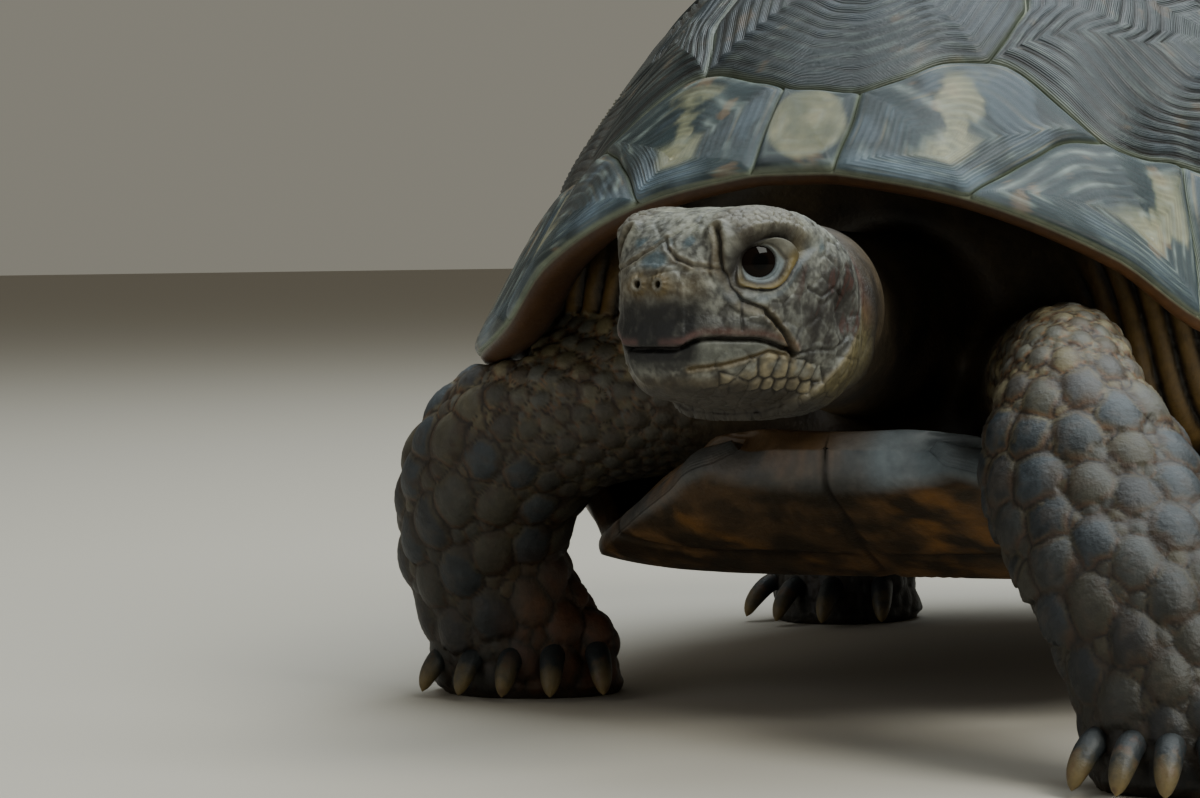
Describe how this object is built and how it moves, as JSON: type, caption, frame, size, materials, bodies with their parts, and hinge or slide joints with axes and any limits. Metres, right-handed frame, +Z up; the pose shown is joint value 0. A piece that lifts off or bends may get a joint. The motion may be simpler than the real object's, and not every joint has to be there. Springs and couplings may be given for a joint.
{
  "type": "tortoise",
  "caption": "Life-size still model of an adult spur-thighed tortoise in mid stride, head out and turned aside, high domed shell with ringed plates.",
  "frame": {"origin": "floor level, under the middle of the whole model's box", "axes": "+Z up from the floor, -Y the way the tortoise faces, +X its left side"},
  "size_m": [0.1454, 0.24, 0.1201],
  "materials": {
    "carapace_horn": "satin horn, dark blue-grey with pale growth rings",
    "plastron_horn": "satin horn, dark brown with ochre",
    "skin": "matt folded skin, olive grey-brown",
    "head_skin": "fine scaled skin, warm pinkish grey",
    "scaled_skin": "large raised scales, blue-grey with beige edges",
    "claw_horn": "satin horn, dark base and pale tip",
    "eye": "wet gloss, near black"
  },
  "bodies": {
    "root": {"carapace": "carapace_horn", "plastron": "plastron_horn", "torso": "skin", "neck": "skin", "head": "head_skin", "jaw": "head_skin", "eye_left": "eye", "eye_right": "eye", "tail": "scaled_skin", "foreleg_left": "scaled_skin", "foreleg_right": "scaled_skin", "hindleg_left": "scaled_skin", "hindleg_right": "scaled_skin", "claw_foreleg_left_1": "claw_horn", "claw_foreleg_left_2": "claw_horn", "claw_foreleg_left_3": "claw_horn", "claw_foreleg_left_4": "claw_horn", "claw_foreleg_left_5": "claw_horn", "claw_foreleg_right_1": "claw_horn", "claw_foreleg_right_2": "claw_horn", "claw_foreleg_right_3": "claw_horn", "claw_foreleg_right_4": "claw_horn", "claw_foreleg_right_5": "claw_horn", "claw_hindleg_left_1": "claw_horn", "claw_hindleg_left_2": "claw_horn", "claw_hindleg_left_3": "claw_horn", "claw_hindleg_left_4": "claw_horn", "claw_hindleg_right_1": "claw_horn", "claw_hindleg_right_2": "claw_horn", "claw_hindleg_right_3": "claw_horn", "claw_hindleg_right_4": "claw_horn"}
  },
  "joints": []
}
